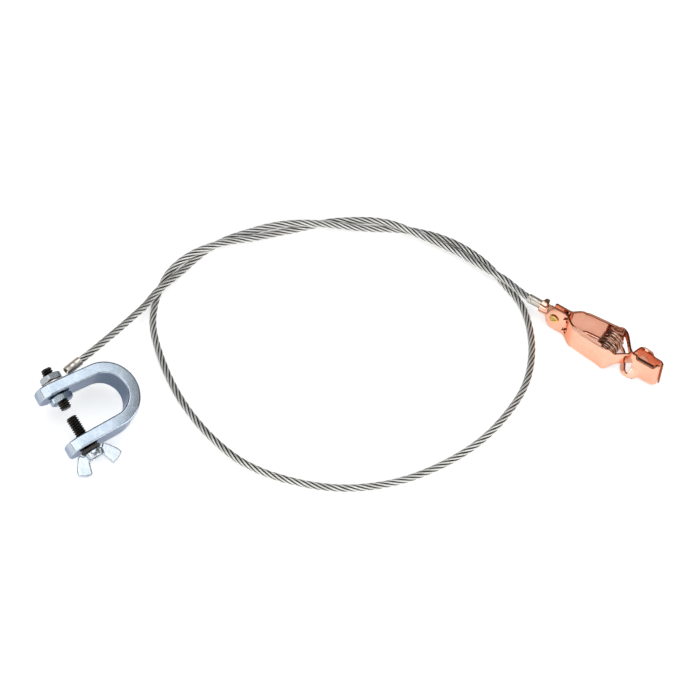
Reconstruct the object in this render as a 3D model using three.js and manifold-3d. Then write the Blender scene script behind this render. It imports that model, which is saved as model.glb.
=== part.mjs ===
// Ground clamp: a screw clamp and a spring clip joined by a steel wire rope.
// Millimetres, +Z up. The screw clamp is on the left (-X) and the clip is on the right (+X).
import * as THREE from 'three';
import { mergeVertices } from 'three/addons/utils/BufferGeometryUtils.js';
import Module from 'manifold-3d';

const wasm = await Module();
wasm.setup();

// ---- placement ----
const SHIFT = [-2.83, 28.91, 0];
const CLAMP_AT = [-122.8, -57.7, 15.27];
const CLAMP_YAW = 38.9;
const CLAMP_LEAN = 19.45;
const CLIP_AT = [94.1, 37.1, 0];
const CLIP_YAW = -28.5;

// ---- screw clamp ----
const STRAP_T = 6.35;
const STRAP_W = 19;
const BEND_R = 14.75; // to the middle of the strap
const SPLAY = 2.1; // each arm opens this many degrees
const ARM_REACH = 31;
const SCREW_R = 3.1;
const HOLE_R = 3.4;
const STUD_ALONG = 19.4; // along the arm from the bend
const SCREW_ALONG = 19.6;
const NUT_AF = 11.1;
const NUT_T = 3.5;
const LOCKNUT_AF = 9.8;
const LOCKNUT_T = 2;
const LUG_T = 1;
const BARREL_R = 2.55;

// ---- clip ----
const SHEET = 1;
const CLIP_H = 18;
const SPRING_X = 46.9;
const SPRING_R = 5.4;
const SPRING_WIRE = 1.3;
const SPRING_TURNS = 6.5;
const SPRING_FROM = -6.2; // the first coil's middle, along y
const SPRING_LONG = 11.3;

// ---- rope ----
const ROPE_D = 3.9;

const rad = (deg) => deg * Math.PI / 180;

const LOOKS = {
  zinc: [0xc4ccd6, 0.32, 0.9],
  black: [0x1c1a18, 0.55, 0.6],
  tinned: [0xb4aa9c, 0.35, 0.9],
  rope: [0xa09c96, 0.4, 0.9],
  sleeve: [0xc8beb0, 0.35, 0.9],
  copper: [0xe8a27c, 0.28, 0.95],
  spring: [0x8c7868, 0.35, 0.9],
  brass: [0xd8b050, 0.3, 0.9],
};

const clampFrame = new THREE.Matrix4()
  .makeTranslation(CLAMP_AT[0] + SHIFT[0], CLAMP_AT[1] + SHIFT[1], CLAMP_AT[2])
  .multiply(new THREE.Matrix4().makeRotationZ(rad(CLAMP_YAW)))
  .multiply(new THREE.Matrix4().makeRotationX(rad(CLAMP_LEAN)));

const clipFrame = new THREE.Matrix4()
  .makeTranslation(CLIP_AT[0] + SHIFT[0], CLIP_AT[1] + SHIFT[1], CLIP_AT[2])
  .multiply(new THREE.Matrix4().makeRotationZ(rad(CLIP_YAW)));

const part = new THREE.Group();
part.name = 'ground_clamp';

function add(name, geometry, look, frame) {
  const [color, roughness, metalness] = LOOKS[look];
  if (frame) geometry.applyMatrix4(frame);
  geometry.computeVertexNormals();
  const mesh = new THREE.Mesh(geometry, new THREE.MeshStandardMaterial({ color, roughness, metalness }));
  mesh.name = name;
  part.add(mesh);
}

// ---- solids from three.js geometry, and their booleans ----
function solid(geometry) {
  const g = geometry.clone();
  g.deleteAttribute('normal');
  g.deleteAttribute('uv');
  const m = mergeVertices(g, 1e-4);
  return new wasm.Manifold(new wasm.Mesh({
    numProp: 3,
    vertProperties: new Float32Array(m.attributes.position.array),
    triVerts: new Uint32Array(m.index.array),
  }));
}

function geometryOf(manifold) {
  const mesh = manifold.getMesh();
  const g = new THREE.BufferGeometry();
  const xyz = new Float32Array(mesh.numVert * 3);
  for (let i = 0; i < mesh.numVert; i++) {
    for (let k = 0; k < 3; k++) xyz[3 * i + k] = mesh.vertProperties[mesh.numProp * i + k];
  }
  g.setAttribute('position', new THREE.BufferAttribute(xyz, 3));
  g.setIndex(new THREE.BufferAttribute(new Uint32Array(mesh.triVerts), 1));
  return g;
}

function box(x0, x1, y0, y1, z0, z1) {
  const g = new THREE.BoxGeometry(x1 - x0, y1 - y0, z1 - z0);
  g.translate((x0 + x1) / 2, (y0 + y1) / 2, (z0 + z1) / 2);
  return solid(g);
}

// a flat outline in x and y, raised from z0 to z1
function plate(outline, z0, z1) {
  const shape = new THREE.Shape(outline.map((p) => new THREE.Vector2(p[0], p[1])));
  const g = new THREE.ExtrudeGeometry(shape, { depth: z1 - z0, bevelEnabled: false });
  g.translate(0, 0, z0);
  return solid(g);
}

// an outline in x and z, raised along y from y0 to y1
function plateAlongY(outline, y0, y1) {
  const shape = new THREE.Shape(outline.map((p) => new THREE.Vector2(p[0], p[1])));
  const g = new THREE.ExtrudeGeometry(shape, { depth: y1 - y0, bevelEnabled: false });
  g.rotateX(Math.PI / 2);
  g.translate(0, y1, 0);
  return solid(g);
}

// a cylinder between two points, with optional chamfer at both ends
function rod(from, to, radius, chamfer = 0, sides = 24) {
  const a = new THREE.Vector3(...from);
  const b = new THREE.Vector3(...to);
  const length = a.distanceTo(b);
  const half = length / 2;
  const profile = [
    [0, -half],
    [radius - chamfer, -half],
    [radius, -half + chamfer],
    [radius, half - chamfer],
    [radius - chamfer, half],
    [0, half],
  ];
  const points = chamfer > 0 ? profile : [profile[0], [radius, -half], [radius, half], profile[5]];
  const g = new THREE.LatheGeometry(points.map((p) => new THREE.Vector2(p[0], p[1])), sides);
  g.applyQuaternion(new THREE.Quaternion().setFromUnitVectors(
    new THREE.Vector3(0, 1, 0), b.clone().sub(a).normalize()));
  g.translate(...a.clone().add(b).multiplyScalar(0.5).toArray());
  return solid(g);
}

// the line points, thickened to both sides, as a closed outline
function ribbon(points, left, right) {
  const offset = (distance) => points.map((p, i) => {
    const before = points[Math.max(i - 1, 0)];
    const after = points[Math.min(i + 1, points.length - 1)];
    const d1 = new THREE.Vector2(p[0] - before[0], p[1] - before[1]);
    const d2 = new THREE.Vector2(after[0] - p[0], after[1] - p[1]);
    if (d1.lengthSq() === 0) d1.copy(d2);
    if (d2.lengthSq() === 0) d2.copy(d1);
    d1.normalize();
    d2.normalize();
    const n1 = new THREE.Vector2(-d1.y, d1.x);
    const n2 = new THREE.Vector2(-d2.y, d2.x);
    const m = n1.clone().add(n2).normalize();
    const scale = distance / Math.max(m.dot(n1), 0.5);
    return [p[0] + m.x * scale, p[1] + m.y * scale];
  });
  return [...offset(left), ...offset(-right).reverse()];
}

// ---- the clamp's own frame: x towards the bend, y from the lower arm to the upper, z across the strap ----
const upperTurn = rad(90 - SPLAY);
const upperOut = [Math.cos(upperTurn), Math.sin(upperTurn)];
const upperWay = [-Math.sin(upperTurn), Math.cos(upperTurn)];
const lowerOut = [upperOut[0], -upperOut[1]];
const lowerWay = [upperWay[0], -upperWay[1]];

function onArm(out, way, along, above) {
  const r = BEND_R + above;
  return [out[0] * r + way[0] * along, out[1] * r + way[1] * along, 0];
}
const onUpper = (along, above) => onArm(upperOut, upperWay, along, above);
const onLower = (along, above) => onArm(lowerOut, lowerWay, along, above);

function strapLine() {
  const line = [onUpper(ARM_REACH + 2, 0), onUpper(0, 0)];
  const steps = 28;
  for (let i = 1; i < steps; i++) {
    const a = upperTurn * (1 - 2 * i / steps);
    line.push([BEND_R * Math.cos(a), BEND_R * Math.sin(a)]);
  }
  line.push(onLower(0, 0), onLower(ARM_REACH + 2, 0));
  return line;
}

function hexNut(centre, out, thickness, across = NUT_AF, turn = 0) {
  const corner = across / Math.sqrt(3);
  const g = new THREE.CylinderGeometry(corner, corner, thickness, 6);
  g.rotateY(Math.PI / 6 + turn);
  g.applyQuaternion(new THREE.Quaternion().setFromUnitVectors(
    new THREE.Vector3(0, 1, 0), new THREE.Vector3(out[0], out[1], 0)));
  g.translate(centre[0], centre[1], 0);
  const c = (s) => [centre[0] + out[0] * s, centre[1] + out[1] * s, 0];
  return solid(g).subtract(rod(c(-thickness), c(thickness), HOLE_R));
}

// strap
{
  const bar = plate(ribbon(strapLine(), STRAP_T / 2, STRAP_T / 2), -STRAP_W / 2, STRAP_W / 2);
  const half = STRAP_W / 2;
  const ends = [[25, -half - 1], [25, half + 1], [-23.6, half + 1], [-28.5, 6.8], [-29.8, 4], [-30.3, 0],
    [-29.8, -4], [-28.5, -6.8], [-23.6, -half - 1]];
  const rounded = bar.intersect(plateAlongY(ends, -30, 30));
  const studHole = rod(onUpper(STUD_ALONG, -6), onUpper(STUD_ALONG, 6), HOLE_R);
  const screwHole = rod(onLower(SCREW_ALONG, -6), onLower(SCREW_ALONG, 6), HOLE_R);
  add('strap', geometryOf(rounded.subtract(studHole).subtract(screwHole)), 'zinc', clampFrame);
}

// upper stud with its two nuts and the ring lug
const lugFace = STRAP_T / 2 + 0.3;
const nutFace = lugFace + LUG_T + 0.3;
add('stud', geometryOf(rod(onUpper(STUD_ALONG, 12.2), onUpper(STUD_ALONG, -11), SCREW_R, 0.5)), 'black', clampFrame);
add('outer_nut', geometryOf(hexNut(onUpper(STUD_ALONG, nutFace + NUT_T / 2), upperOut, NUT_T)), 'zinc', clampFrame);
add('inner_nut', geometryOf(hexNut(
  onUpper(STUD_ALONG, -STRAP_T / 2 - 0.3 - NUT_T / 2), [-upperOut[0], -upperOut[1]], NUT_T, NUT_AF, Math.PI / 6)),
  'zinc', clampFrame);
{
  const centre = onUpper(STUD_ALONG, 0);
  const c = (s) => [centre[0] + upperOut[0] * s, centre[1] + upperOut[1] * s, 0];
  const ring = rod(c(lugFace), c(lugFace + LUG_T), 6.2);
  const mid = lugFace + LUG_T / 2;
  const line = [onUpper(16, mid), onUpper(12.9, mid), onUpper(11.7, mid + 0.5), onUpper(10.7, mid + 1.7),
    onUpper(9.6, mid + 2.6), onUpper(8, mid + 3)];
  const tongue = plate(ribbon(line, LUG_T / 2, LUG_T / 2), -2.9, 2.9);
  const barrel = rod(onUpper(10.4, 6.8), onUpper(1.2, 9), BARREL_R, 0.3);
  const hole = rod(c(lugFace - 2), c(lugFace + 3), HOLE_R);
  add('ring_lug', geometryOf(ring.add(tongue).subtract(hole).add(barrel)), 'tinned', clampFrame);
}

// lower screw with its locknut and wing nut
const lockFace = STRAP_T / 2 + 0.3;
const hubFace = lockFace + LOCKNUT_T + 0.3;
add('clamp_screw', geometryOf(rod(onLower(SCREW_ALONG, -14.9), onLower(SCREW_ALONG, hubFace + 3.4), SCREW_R, 0.5)),
  'black', clampFrame);
add('lock_nut', geometryOf(hexNut(
  onLower(SCREW_ALONG, lockFace + LOCKNUT_T / 2), lowerOut, LOCKNUT_T, LOCKNUT_AF)),
  'black', clampFrame);
{
  const c = (s) => onLower(SCREW_ALONG, hubFace + s);
  const hub = rod(c(0), c(3.8), 4.9, 0.5);
  const wing = (side) => {
    const outline = [[3.8, 0.6], [6, 0.1], [6.5, -1], [7.6, -1], [9.6, 1.4], [12.4, 5.4], [12.9, 7.6], [11.4, 9.4],
      [8.8, 10.3], [6.6, 10.2], [4.8, 6], [3.8, 3.2]];
    const flat = outline.map(([out, down]) => {
      const p = onLower(SCREW_ALONG - side * out, hubFace + down);
      return [p[0], p[1]];
    });
    if (side < 0) flat.reverse();
    return plate(flat, -1.1, 1.1);
  };
  const whole = hub.add(wing(1)).add(wing(-1)).subtract(rod(c(-2), c(8), HOLE_R));
  add('wing_nut', geometryOf(whole), 'zinc', clampFrame);
}

// ---- clip, in its own frame: x from the tail to the nose, y from the near lever to the far one, z up ----
const cableLine = [[4, -2.3], [13, -2.4], [20.6, -2.4], [22.6, -3.1], [25, -5.2], [28.2, -7.3], [33, -8.2],
  [47.8, -9.6], [49.8, -9.1], [51.2, -8], [53.8, -5.5], [56.4, -3.4], [60.5, -0.6], [63.2, 1.9], [65, 2.7],
  [76.6, 2.4], [78, 1.5], [78.7, -0.5]];
const freeLine = [[12.6, 0.3], [20.6, 0.3], [22.8, 0.4], [25.2, 2.4], [28, 4.8], [31.5, 5.9], [48.4, 7.4],
  [51.2, 7.3], [53.2, 6.3], [55.2, 4.3], [57.6, 1.2], [59.9, -1.7], [61.6, -3.1], [63.4, -3.6], [76, -3.6],
  [77.4, -2.9], [78, -1.6]];

// an inward lip along a stretch of a lever's edge: x from and to, side is +1 towards +y
function lip(line, from, to, side, depth, z0, z1) {
  const stretch = line.filter((p) => p[0] >= from && p[0] <= to);
  const inner = SHEET / 2 + depth;
  const outline = side > 0 ? ribbon(stretch, inner, 0) : ribbon(stretch, 0, inner);
  return plate(outline, z0, z1);
}

// cable lever: a crimped tail, a belly, a narrow neck and the far jaw
{
  let lever = plate(ribbon(cableLine, SHEET / 2, SHEET / 2), 0, CLIP_H);
  for (const [z0, z1] of [[0, 1], [CLIP_H - 1, CLIP_H]]) {
    lever = lever.add(lip(cableLine, 28, 47, 1, 1, z0, z1));
  }
  // the neck, with corners cut on a slope
  lever = lever.subtract(plateAlongY([[49.9, CLIP_H + 1], [53.2, 12.4], [60.6, 12.4], [64.4, CLIP_H + 1]], -14, 4.5));
  lever = lever.subtract(plateAlongY([[64.4, -1], [61.6, 4.4], [56, 4.2], [53.4, 3.4], [49.2, -1]], -14, 4.5));
  // the far jaw is lower towards the nose
  lever = lever.subtract(box(71.3, 80, -3, 5, CLIP_H - 2.3, CLIP_H + 1));
  // the tail narrows to the crimp
  lever = lever.subtract(plateAlongY([[2, CLIP_H + 1], [2, 13], [6.5, 13], [11.6, CLIP_H + 1]], -4, 0));
  lever = lever.subtract(plateAlongY([[12.6, -1], [6.5, 5], [2, 5], [2, -1]], -4, 0));
  // two slots for the free lever's hinge tabs, and the brass screw's hole
  for (const z of [3.2, 12.6]) lever = lever.subtract(box(20.6, 23.2, -6, -1, z - 0.4, z + 2.6));
  lever = lever.subtract(rod([14.7, -5, 9.1], [14.7, 0, 9.1], 1.9));
  // crimp: a saddle open towards +y, with pointed ears
  const saddle = rod([2.6, 1, 9], [8.6, 1, 9], 3.7, 0, 20).add(box(2.6, 8.6, 1, 4.6, 5.3, 12.7));
  const bore = rod([0, 1, 9], [10, 1, 9], 2.8, 0, 20).add(box(0, 10, 1, 6, 6.2, 11.8));
  let crimp = saddle.subtract(bore).subtract(box(0, 10, 3.9, 6, 4, 14));
  const cut = [[0, 2], [3.2, 2], [5.4, 4.2], [0, 4.2]];
  crimp = crimp.subtract(plate(cut, 4, 14));
  crimp = crimp.subtract(plate([[7.6, 4.2], [9.4, 1], [9.4, 4.2]], 4, 14));
  lever = lever.add(crimp);
  add('cable_lever', geometryOf(lever), 'copper', clipFrame);
}

// free lever: hinge tabs, a belly, two legs round the other's neck and the near jaw
{
  let lever = plate(ribbon(freeLine, SHEET / 2, SHEET / 2), 0, CLIP_H);
  for (const [z0, z1] of [[0, 1], [CLIP_H - 1, CLIP_H]]) {
    lever = lever.add(lip(freeLine, 27.5, 49, -1, 1, z0, z1));
  }
  lever = lever.subtract(plateAlongY([[51.4, 2.9], [63.2, 2.9], [63.2, 13], [51.4, 13]], -8, 12));
  // the lower leg bows out under the jaw
  lever = lever.subtract(box(57.6, 66, -8, 1.5, -1, 2.95));
  const bow = [[56.6, 2.5], [58.4, -0.8], [60.2, -4.4], [61.8, -6.1], [63.8, -6.5], [65.8, -5.4], [67.8, -3.6]];
  lever = lever.add(plate(ribbon(bow, SHEET / 2, SHEET / 2), 0, 2.9));
  lever = lever.subtract(box(12, 16.8, -1, 2, 4.2, 13.2));
  for (const z of [3.2, 12.6]) lever = lever.add(box(21.4, 22.4, -3.9, 0.5, z, z + 2.2));
  add('free_lever', geometryOf(lever), 'copper', clipFrame);
}

// compression spring between the two bellies
{
  class Coil extends THREE.Curve {
    getPoint(t, target = new THREE.Vector3()) {
      const a = Math.PI * (1 + 2 * SPRING_TURNS * t);
      return target.set(SPRING_X + SPRING_R * Math.cos(a), SPRING_FROM + SPRING_LONG * t,
        CLIP_H / 2 + SPRING_R * Math.sin(a));
    }
  }
  const section = new THREE.Shape();
  section.absarc(0, 0, SPRING_WIRE / 2, 0, 2 * Math.PI);
  const g = new THREE.ExtrudeGeometry(section, {
    steps: 130, curveSegments: 7, bevelEnabled: false, extrudePath: new Coil(),
  });
  add('coil_spring', geometryOf(solid(g)), 'spring', clipFrame);
}

// brass screw through the tail, and the sleeve on the rope's end
add('brass_screw', geometryOf(rod([14.7, -4.2, 9.1], [14.7, -3.2, 9.1], 2.7, 0.4)
  .add(rod([14.7, -3.4, 9.1], [14.7, -0.9, 9.1], 1.6))), 'brass', clipFrame);
add('rope_sleeve', geometryOf(rod([-3.4, 1, 9], [9.6, 1, 9], BARREL_R, 0.3)), 'sleeve', clipFrame);

// ---- rope: from the lug to the loop, twice along the loop's far side, and to the clip ----
const LEAD = [
  [-136.9, -40.3, 23], [-132.6, -35.1, 23.2], [-127.5, -26.8, 21.2], [-121.7, -16, 17.4],
  [-115.5, -3.4, 12.6], [-109.6, 8.9, 8.2],
];
// the middle of the two runs that lie round each other, and their turn there in half turns
const PAIR = [
  [-104.6, 20.2, 0.5], [-97.4, 35, 1], [-85.2, 50, 1.5], [-72.2, 59.5, 1.78], [-59.9, 65.1, 2],
  [-45.9, 71.1, 2.25], [-32.2, 75.4, 2.5], [-18.9, 78.6, 2.8], [-7.1, 79.9, 3], [4.8, 80.8, 3.25],
  [16.2, 80.9, 3.5], [33.3, 77.6, 3.85], [50.5, 71.5, 4], [65.7, 62.5, 3.88], [78.7, 51.7, 3.5],
];
const LOOP = [
  [88.2, 39.6, 2], [93.8, 23.9, 2], [95.6, 5.9, 2], [93.1, -12.3, 2], [85.2, -30.5, 2],
  [72.2, -49.6, 2], [53.6, -66.7, 2], [30.4, -80.3, 2], [3.8, -87.3, 2], [-23.4, -86.1, 2],
  [-46.7, -79, 2], [-66.3, -64.8, 2], [-83.7, -44.6, 2], [-97, -20.6, 2], [-104.5, 1.6, 2],
];
const TAIL = [[85.2, 45.6, 7.4], [90.9, 40, 9]];
const PAIR_Z = 4.18;
const PAIR_R = 2.15;
const TURN_WEIGHT = 30;

// one of the two runs: side is 1 for the first and -1 for the second
function run(side) {
  const keys = PAIR.map(([x, y, turn]) => new THREE.Vector3(x, y, turn * TURN_WEIGHT));
  const middle = new THREE.CatmullRomCurve3(keys, false, 'centripetal');
  const count = 3 * (keys.length - 1);
  const at = [];
  for (let i = 0; i <= count; i++) at.push(middle.getPoint(i / count));
  return at.map((p, i) => {
    const way = at[Math.min(i + 1, count)].clone().sub(at[Math.max(i - 1, 0)]).setZ(0).normalize();
    const turn = p.z / TURN_WEIGHT * Math.PI;
    const out = side * PAIR_R * Math.cos(turn);
    return [p.x - way.y * out, p.y + way.x * out, PAIR_Z + side * PAIR_R * Math.sin(turn)];
  });
}
{
  const spots = [...LEAD, ...run(1), ...LOOP, ...run(-1), ...TAIL]
    .map((p) => new THREE.Vector3(p[0] + SHIFT[0], p[1] + SHIFT[1], p[2]));
  const path = new THREE.CatmullRomCurve3(spots, false, 'centripetal');
  path.arcLengthDivisions = 2000;
  const section = new THREE.Shape();
  section.absarc(0, 0, ROPE_D / 2, 0, 2 * Math.PI);
  const g = new THREE.ExtrudeGeometry(section, {
    steps: 84, curveSegments: 8, bevelEnabled: false, extrudePath: path,
  });
  add('wire_rope', geometryOf(solid(g)), 'rope', null);
}

export default part;
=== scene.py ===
import math

import bmesh
import bpy
import numpy as np
from mathutils import Matrix, Vector
from mathutils.geometry import delaunay_2d_cdt


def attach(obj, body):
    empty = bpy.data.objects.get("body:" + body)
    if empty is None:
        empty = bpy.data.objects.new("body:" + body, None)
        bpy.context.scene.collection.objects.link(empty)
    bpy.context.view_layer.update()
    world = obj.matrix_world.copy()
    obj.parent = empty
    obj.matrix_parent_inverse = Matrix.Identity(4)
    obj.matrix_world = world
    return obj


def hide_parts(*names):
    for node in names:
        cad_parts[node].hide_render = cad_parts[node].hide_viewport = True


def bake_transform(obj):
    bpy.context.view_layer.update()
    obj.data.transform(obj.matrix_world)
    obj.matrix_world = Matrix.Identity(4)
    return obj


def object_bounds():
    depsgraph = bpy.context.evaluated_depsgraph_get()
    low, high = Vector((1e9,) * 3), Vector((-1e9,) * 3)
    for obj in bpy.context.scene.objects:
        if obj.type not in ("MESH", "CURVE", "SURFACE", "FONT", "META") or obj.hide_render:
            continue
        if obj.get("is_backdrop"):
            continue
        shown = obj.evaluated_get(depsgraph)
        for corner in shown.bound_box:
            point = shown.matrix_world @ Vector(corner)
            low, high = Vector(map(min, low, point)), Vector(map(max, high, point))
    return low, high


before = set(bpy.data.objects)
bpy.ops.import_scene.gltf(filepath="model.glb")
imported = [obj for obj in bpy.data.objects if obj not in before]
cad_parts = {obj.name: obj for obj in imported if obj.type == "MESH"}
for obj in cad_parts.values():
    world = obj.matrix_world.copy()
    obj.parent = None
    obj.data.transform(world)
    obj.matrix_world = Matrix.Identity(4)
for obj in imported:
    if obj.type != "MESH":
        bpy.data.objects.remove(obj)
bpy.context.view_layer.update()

# ---- where the two ends lie (mm, degrees)
MM = 0.001


def placed(at, yaw, lean=0.0):
    """The frame of one end of the lead, as a 4 x 4 matrix in mm."""
    return np.array(Matrix.Translation(Vector(at))
                    @ Matrix.Rotation(math.radians(yaw), 4, "Z")
                    @ Matrix.Rotation(math.radians(lean), 4, "X"))


WORLD = np.eye(4)
SHIFT = np.array([-2.83, 28.91, 0.0])
CLAMP = placed(SHIFT + [-122.8, -57.7, 15.27], 38.9, 19.45)
CLIP = placed(SHIFT + [94.1, 37.1, 0.0], -28.5)

# ---- camera
LOOK_AT = Vector(SHIFT * MM)
ELEVATION = math.radians(55)
ROLL = math.radians(6)
DISTANCE = 1.6

right, up = Vector((1, 0, 0)), Vector((0, math.sin(ELEVATION), math.cos(ELEVATION)))
back = Vector((0, -math.cos(ELEVATION), math.sin(ELEVATION)))
cam_data = bpy.data.cameras.new("camera")
cam_data.sensor_width = 36
cam_data.lens = 156.3
cam_data.clip_start, cam_data.clip_end = 0.05, 20
camera = bpy.data.objects.new("camera", cam_data)
bpy.context.scene.collection.objects.link(camera)
across = right * math.cos(ROLL) + up * math.sin(ROLL)
upward = up * math.cos(ROLL) - right * math.sin(ROLL)
turn = Matrix((across, upward, back)).transposed().to_4x4()
camera.matrix_world = Matrix.Translation(LOOK_AT + back * DISTANCE) @ turn
bpy.context.scene.camera = camera


# ---- materials
class Nodes:
    """A material's node tree, with short calls."""

    def __init__(self, name):
        self.material = bpy.data.materials.new(name)
        self.material.use_nodes = True
        self.tree = self.material.node_tree
        self.shader = self.tree.nodes["Principled BSDF"]
        coords = self.new("ShaderNodeTexCoord")
        scale = self.new("ShaderNodeVectorMath", operation="SCALE")
        scale.inputs["Scale"].default_value = 1000.0
        self.link(coords.outputs["Object"], scale.inputs[0])
        self.mm = scale.outputs[0]

    def new(self, kind, **values):
        node = self.tree.nodes.new(kind)
        for key, value in values.items():
            setattr(node, key, value)
        return node

    def link(self, a, b):
        self.tree.links.new(a, b)

    def noise(self, scale, detail, rough):
        """Noise with a feature size of about 1/scale mm."""
        node = self.new("ShaderNodeTexNoise")
        node.inputs["Scale"].default_value = scale
        node.inputs["Detail"].default_value = detail
        node.inputs["Roughness"].default_value = rough
        self.link(self.mm, node.inputs["Vector"])
        return node.outputs["Fac"]

    def value(self, attribute):
        """A number that the mesh carries at each vertex."""
        return self.new("ShaderNodeAttribute", attribute_name=attribute).outputs["Fac"]

    def span(self, value, low, high, start=0.3, end=0.7):
        """low to high, as the value goes from start to end."""
        node = self.new("ShaderNodeMapRange")
        node.inputs["From Min"].default_value = start
        node.inputs["From Max"].default_value = end
        node.inputs["To Min"].default_value = low
        node.inputs["To Max"].default_value = high
        self.link(value, node.inputs["Value"])
        return node.outputs["Result"]

    def put(self, value, slot):
        """Links an output, or sets a number or a colour."""
        if hasattr(value, "default_value"):
            self.link(value, slot)
        else:
            slot.default_value = (*value, 1) if hasattr(value, "__len__") else value

    def mix(self, factor, a, b):
        node = self.new("ShaderNodeMix", data_type="RGBA")
        for value, slot in ((factor, 0), (a, 6), (b, 7)):
            self.put(value, node.inputs[slot])
        return node.outputs[2]

    def math(self, operation, a, b=0.5):
        node = self.new("ShaderNodeMath", operation=operation)
        self.put(a, node.inputs[0])
        self.put(b, node.inputs[1])
        return node.outputs[0]

    def worn_edges(self, start, end):
        """1 on sharp outer edges, 0 elsewhere."""
        geometry = self.new("ShaderNodeNewGeometry")
        return self.span(geometry.outputs["Pointiness"], 0.0, 1.0, start, end)

    def bump(self, height, distance, under=None):
        """A bump of so many mm, on top of another one if given."""
        node = self.new("ShaderNodeBump")
        node.inputs["Strength"].default_value = 1.0
        node.inputs["Distance"].default_value = distance * MM
        self.link(height, node.inputs["Height"])
        if under is not None:
            self.link(under, node.inputs["Normal"])
        return node.outputs["Normal"]

    def finish(self, color, roughness, normal):
        """All of these are metals."""
        self.link(color, self.shader.inputs["Base Color"])
        self.link(roughness, self.shader.inputs["Roughness"])
        self.link(normal, self.shader.inputs["Normal"])
        self.shader.inputs["Metallic"].default_value = 1.0
        return self.material


def metal(name, light, dark, rough=(0.2, 0.35), grain=1.2, depth=0.02, edge=None, blotch=0.15, tint=None,
          cut=None, spots=0.22):
    """Plated or bare metal: blotches of two tones, dark spots, fine grain, worn edges.
    cut is the colour where the mesh's rim value is 1: painted shade on a sheet's cut edges and the tops of its
    lips, and on the inner face of a bent bar."""
    n = Nodes(name)
    if tint:
        n.shader.inputs["Specular Tint"].default_value = (*tint, 1)
    large = n.noise(blotch, 3.0, 0.6)
    fine = n.noise(grain, 6.0, 0.65)
    pits = n.noise(grain * 4, 2.0, 0.5)
    color = n.mix(n.span(large, 0.0, 1.0, 0.35, 0.65), dark, light)
    color = n.mix(n.span(fine, 0.0, spots, 0.45, 0.75), color, tuple(0.6 * c for c in dark))
    if edge:
        color = n.mix(n.worn_edges(0.52, 0.58), color, edge)
    # the cut colour is painted shade, laid where the rim value is 1
    if cut:
        color = n.mix(n.value("rim"), color, cut)
    rough_map = n.math("ADD", n.span(fine, rough[0], rough[1], 0.3, 0.7), n.span(large, -0.03, 0.03))
    normal = n.bump(pits, depth * 0.4)
    normal = n.bump(fine, depth, under=normal)
    return n.finish(color, rough_map, normal)


# the strap's zinc: its cut colour is painted shade on the inner face of the bend
zinc = metal("zinc_plate", (0.46, 0.515, 0.58), (0.36, 0.42, 0.49), (0.10, 0.20), 1.1, 0.02,
             edge=(0.78, 0.82, 0.86), tint=(0.50, 0.53, 0.62), spots=0.28, cut=(0.12, 0.16, 0.21))
wing_zinc = metal("zinc_plate_wing", (0.62, 0.66, 0.70), (0.50, 0.55, 0.60), (0.17, 0.30), 1.1, 0.03,
                  edge=(0.74, 0.78, 0.82), tint=(0.46, 0.51, 0.60))
nut_zinc = metal("zinc_plate_nut", (0.25, 0.28, 0.30), (0.16, 0.19, 0.21), (0.20, 0.32), 1.3, 0.03,
                 edge=(0.56, 0.60, 0.63), tint=(0.40, 0.44, 0.50))
dark_zinc = metal("zinc_plate_dark", (0.12, 0.17, 0.21), (0.075, 0.115, 0.145), (0.18, 0.30), 1.3, 0.03,
                  edge=(0.58, 0.65, 0.72), tint=(0.50, 0.56, 0.64))
# the clip's copper: its cut colour is painted shade on the cut edges and lip tops
copper = metal("copper_plate", (0.93, 0.54, 0.40), (0.87, 0.46, 0.33), (0.07, 0.15), 0.7, 0.010,
               edge=(0.97, 0.62, 0.48), blotch=0.1, tint=(0.85, 0.50, 0.38), cut=(0.30, 0.11, 0.06))
black = metal("black_oxide", (0.034, 0.030, 0.028), (0.020, 0.018, 0.017), (0.38, 0.54), 2.0, 0.02,
              edge=(0.10, 0.09, 0.08))
tinned = metal("tinned_copper", (0.80, 0.73, 0.66), (0.68, 0.61, 0.54), (0.30, 0.44), 1.6, 0.03)
ferrule = metal("sleeve_metal", (0.62, 0.57, 0.51), (0.50, 0.45, 0.38), (0.26, 0.38), 1.4, 0.02)
spring_wire = metal("spring_steel", (0.66, 0.45, 0.34), (0.30, 0.17, 0.12), (0.12, 0.24), 1.8, 0.02)
brass = metal("brass", (0.84, 0.60, 0.24), (0.66, 0.42, 0.14), (0.18, 0.32), 1.5, 0.02)


def rope_metal():
    """Galvanised wire: each strand's wires run along the rope, in bump, with painted shade in the gaps between
    wires and strands, and soft patches.
    """
    n = Nodes("rope_steel")
    around, along, height = n.value("strand_angle"), n.value("rope_length"), n.value("strand_height")
    # outer wires of a strand, laid the other way round than the strands are
    count, wire_lay = 6.0, 7.4
    phase = n.math("ADD", n.math("MULTIPLY", around, count),
                   n.math("MULTIPLY", along, count * 2 * math.pi / wire_lay))
    wires = n.math("ABSOLUTE", n.math("SINE", n.math("MULTIPLY", phase, 0.5)))
    large = n.noise(0.12, 3.0, 0.6)
    fine = n.noise(2.5, 4.0, 0.6)
    color = n.mix(n.span(large, 0.0, 1.0, 0.35, 0.65), (0.66, 0.64, 0.60), (0.84, 0.83, 0.80))
    # painted shade in the grooves between the outer wires
    color = n.mix(n.span(wires, 0.35, 0.0, 0.0, 0.35), color, (0.16, 0.145, 0.13))
    # painted shade, near black, in the valleys between the strands
    color = n.mix(n.span(height, 1.0, 0.0, 0.60, 0.94), color, (0.020, 0.018, 0.016))
    rough_map = n.span(fine, 0.30, 0.44)
    normal = n.bump(fine, 0.01)
    normal = n.bump(wires, 0.09, under=normal)
    return n.finish(color, rough_map, normal)


rope_steel = rope_metal()


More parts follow.
